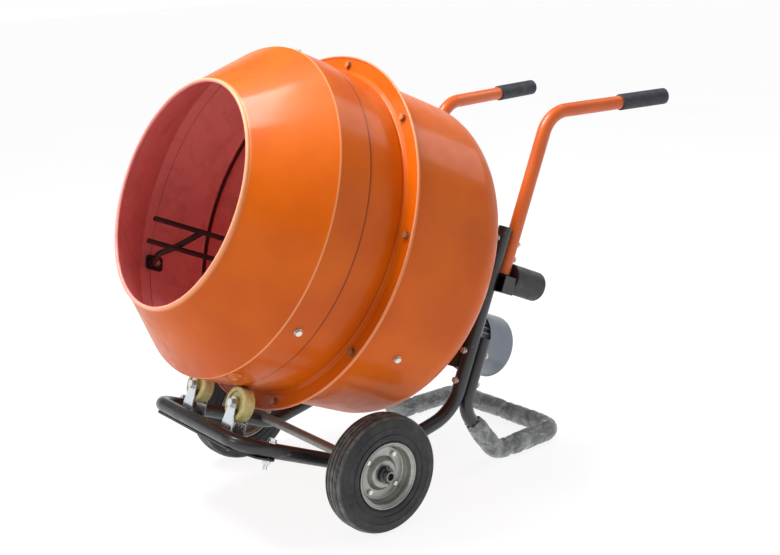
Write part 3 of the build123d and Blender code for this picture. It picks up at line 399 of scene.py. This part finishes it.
wearing = {
    orange: ["drum_cone", "drum_track", "drum_rear"],
    handle_paint: ["handle_left", "handle_right", "hub_flange"],
    black_paint: ["chassis_tube", "back_plate", "stand_tube", "roller_plate", "switch_bracket"],
    arm_paint: ["paddle_1", "paddle_2", "paddle_3"],
    bolt_paint: ["ring_bolts"],
    case_paint: ["gearcase", "gearcase_cover", "shaft_housing", "housing_cap"],
    motor_paint: ["motor_body", "fan_cowl"],
    zinc: ["caster_fork_left", "caster_fork_right", "frame_bolts", "hub_bolts", "drive_bolts"],
    pin_steel: ["axle_pins"],
    gasket_rubber: ["drum_gasket"],
    drum_studs("drum_studs"): ["paddle_bolts"],
    stud_zinc: ["tube_bolts", "rim_bolts_left", "rim_bolts_right"],
    bar_steel: ["axle"],
    machined: [
        "drum_shaft",
        "drive_gear",
        "countershaft",
        "reduction_gear",
        "motor_shaft",
        "motor_rotor",
        "motor_stator",
        "shaft_bearings",
    ],
    grip_rubber: ["grip_left", "grip_right"],
    seal_rubber: ["wheel_hub_left", "wheel_hub_right"],
    black_plastic: ["switch_box", "switch_cover", "cable_gland", "motor_fan"],
    green_plastic: ["start_button"],
    red_plastic: ["stop_button"],
    rim_grey: ["rim_outer_left", "rim_inner_left", "rim_outer_right", "rim_inner_right"],
    tyre_rubber("tyre_left_rubber", 1): ["tyre_left"],
    tyre_rubber("tyre_right_rubber", -1): ["tyre_right"],
    nylon("nylon_left", "left"): ["roller_left"],
    nylon("nylon_right", "right"): ["roller_right"],
}


def dress(piece, surface):
    """Give a piece one material."""
    piece.data.materials.clear()
    piece.data.materials.append(surface.material)


for surface, names in wearing.items():
    for node_name in names:
        dress(nodes[node_name], surface)


# ---- foam wrapping round the stand's loop
wrap_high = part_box("stand_wrap")[1]
cad_wrap_r = 0.025
wrap_r = 0.0244
loop_z = wrap_r
loop_depth = 0.195
leg_angle = math.radians(54)
leg_covered = 0.1145
bend_r = 0.046
ring_step = 0.003
ring_points = 48
bend_steps = 12
lump_size = 0.07
lump_depth = 0.0016
spiral_pitch = 0.05
fold_size = 0.016
fold_depth = 0.0011
tape_depth = 0.0036
tape_width = 0.007
tape_places = (0.16, 0.5, 0.83)
gather_depth = 0.006
gather_length = 0.012
rear_y = wrap_high.y - cad_wrap_r
side_x = wrap_high.x - cad_wrap_r
front_y = rear_y - loop_depth
leg_top = Vector(
    (side_x, front_y - leg_covered * math.cos(leg_angle), loop_z + leg_covered * math.sin(leg_angle))
)


def rounded(points, radius, step):
    """Evenly spaced points along straight runs whose corners are rounded."""
    dense = [points[0]]
    for before, corner, after in zip(points, points[1:], points[2:]):
        inward, outward = (before - corner).normalized(), (after - corner).normalized()
        cut = radius * math.tan((math.pi - inward.angle(outward)) / 2)
        first, last = corner + inward * cut, corner + outward * cut
        for k in range(bend_steps + 1):
            u = k / bend_steps
            dense.append(first * (1 - u) ** 2 + corner * 2 * u * (1 - u) + last * u**2)
    dense.append(points[-1])
    spaced, carry = [dense[0]], 0.0
    for a, b in zip(dense, dense[1:]):
        length = (b - a).length
        while carry + length >= step and length > 1e-9:
            a = a + (b - a).normalized() * (step - carry)
            spaced.append(a)
            length = (b - a).length
            carry = 0.0
        carry += length
    return spaced


def crease(point, size):
    """Sharp-bottomed fold pattern, 0 to 1."""
    return 1 - min(1.0, abs(noise.noise(point / size)) * 3.2)


def foam_radius(along, total, turn, point):
    """Radius of the wrapped foam at a distance along the loop and an angle round it."""
    lumps = noise.noise(point / lump_size) * lump_depth
    spiral = crease(Vector((along / spiral_pitch + turn / (2 * math.pi), math.sin(turn), 3.1)), 1.0)
    folds = crease(point + Vector((0, 0, 4)), fold_size) * fold_depth
    joints = 0.0
    for share in tape_places:
        gap = (along - share * total) / tape_width
        uneven = 0.7 + 0.5 * noise.noise(Vector((turn * 2, share * 9, 0)))
        joints += tape_depth * math.exp(-gap * gap) * uneven
    end = min(along, total - along)
    gather = gather_depth * math.exp(-((end / gather_length) ** 2)) * (0.8 + 0.4 * math.sin(7 * turn))
    return wrap_r + lumps - lump_depth * spiral - folds - joints - gather


def wrap_mesh(name, path, around):
    """Closed tube along a path with the foam's lumps, folds, taped joints and gathered ends."""
    mesh = bpy.data.meshes.new(name)
    shape = bmesh.new()
    total = (len(path) - 1) * (path[1] - path[0]).length
    side = Vector((1, 0, 0))
    rings = []
    for i, centre in enumerate(path):
        ahead = (path[min(i + 1, len(path) - 1)] - path[max(i - 1, 0)]).normalized()
        side = (side - ahead * side.dot(ahead)).normalized()
        up = ahead.cross(side)
        along = total * i / (len(path) - 1)
        ring = []
        for k in range(around):
            turn = 2 * math.pi * k / around
            ray = side * math.cos(turn) + up * math.sin(turn)
            place = centre + ray * foam_radius(along, total, turn, centre + ray * wrap_r)
            place.z = max(place.z, 0.0)
            ring.append(shape.verts.new(place))
        rings.append(ring)
    for low, high in zip(rings, rings[1:]):
        for k in range(around):
            j = (k + 1) % around
            shape.faces.new((low[k], low[j], high[j], high[k]))
    for ring in (rings[0], rings[-1]):
        shape.faces.new(ring)
    bmesh.ops.recalc_face_normals(shape, faces=shape.faces)
    shape.to_mesh(mesh)
    shape.free()
    for face in mesh.polygons:
        face.use_smooth = len(face.vertices) == 4
    piece = bpy.data.objects.new(name, mesh)
    bpy.context.collection.objects.link(piece)
    return piece


mirror = Matrix.Scale(-1, 4, Vector((1, 0, 0)))
half_loop = [leg_top, Vector((side_x, front_y, loop_z)), Vector((side_x, rear_y, loop_z))]
full_loop = half_loop + [mirror @ point for point in reversed(half_loop)]
wrap = wrap_mesh("foam_wrap", rounded(full_loop, bend_r, ring_step), ring_points)
dress(wrap, foam("foam_film"))
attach(wrap, "frame")
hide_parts("stand_wrap")


# ---- floor, light and camera
floor_glow = 0.86
horizon_band = (0.2, 0.34)


def stage_floor():
    """Plain pale floor that fades into the backdrop."""
    bpy.ops.mesh.primitive_plane_add(size=60, location=(0, 0, 0))
    floor = bpy.context.object
    floor.name = "studio_floor"
    s = Surface("studio_floor")
    grain = s.spread(s.noise(0.6, 3), 0.3, 0.7, 0.0, 1.0)
    s.set(Base_Color=s.mix(grain, hue(124, 124, 126), hue(130, 130, 131)))
    s.set(Roughness=0.9, Specular_IOR_Level=0.1)
    s.set(Emission_Color=(1.0, 1.0, 1.0), Emission_Strength=floor_glow)
    dress(floor, s)


def soft_light(name, power, size, place, aim):
    """Large square lamp aimed at a point."""
    lamp = bpy.data.lights.new(name, "AREA")
    lamp.energy, lamp.size = power, size
    made = bpy.data.objects.new(name, lamp)
    made.location = place
    made.rotation_euler = (Vector(aim) - Vector(place)).to_track_quat("-Z", "Y").to_euler()
    bpy.context.collection.objects.link(made)


def studio_world(horizon, side, top):
    """White surroundings: a bright horizon, darker sides and a brighter sky."""
    world = bpy.data.worlds.new("studio")
    world.use_nodes = True
    tree = world.node_tree
    direction = tree.nodes.new("ShaderNodeTexCoord").outputs["Generated"]
    split = tree.nodes.new("ShaderNodeSeparateXYZ")
    ramp = tree.nodes.new("ShaderNodeValToRGB")
    stops = ramp.color_ramp.elements
    stops[0].position, stops[1].position = horizon_band
    for position in (0.5, 0.95):
        stops.new(position)
    for stop, level in zip(stops, (horizon, side, side, top)):
        stop.color = (level, level, level, 1)
    tree.links.new(direction, split.inputs[0])
    tree.links.new(split.outputs["Z"], ramp.inputs[0])
    tree.links.new(ramp.outputs[0], tree.nodes["Background"].inputs["Color"])
    bpy.context.scene.world = world


def photo_camera(place, azimuth, elevation, roll, lens):
    """Camera given by its position, heading, tilt and roll in degrees."""
    az, el, turn = (math.radians(a) for a in (azimuth, elevation, roll))
    back = Vector((math.sin(az) * math.cos(el), -math.cos(az) * math.cos(el), math.sin(el)))
    right = Vector((math.cos(az), math.sin(az), 0))
    up = back.cross(right)
    cam_x = right * math.cos(turn) + up * math.sin(turn)
    cam_y = up * math.cos(turn) - right * math.sin(turn)
    camera = bpy.data.objects.new("camera", bpy.data.cameras.new("camera"))
    camera.data.lens = lens
    camera.data.sensor_width = 36
    rotation = Matrix((cam_x, cam_y, back)).transposed().to_4x4()
    camera.matrix_world = Matrix.Translation(place) @ rotation
    bpy.context.collection.objects.link(camera)
    bpy.context.scene.camera = camera


stage_floor()
studio_world(1.0, 0.2, 0.6)
soft_light("top", 120, 1.3, (-0.5, -0.9, 3.0), (0, -0.1, 0.5))
soft_light("front", 18, 1.2, (0.0, -3.4, 2.0), (0, -0.3, 0.7))
soft_light("back", 16, 1.4, (0.2, 2.8, 2.4), (0, 0.1, 0.5))
bpy.context.scene.view_settings.view_transform = "Standard"
camera_place = Vector((2.2181, -1.6871, 1.1716))
photo_camera(camera_place, azimuth=53.3, elevation=14.75, roll=-3.59, lens=56.92)
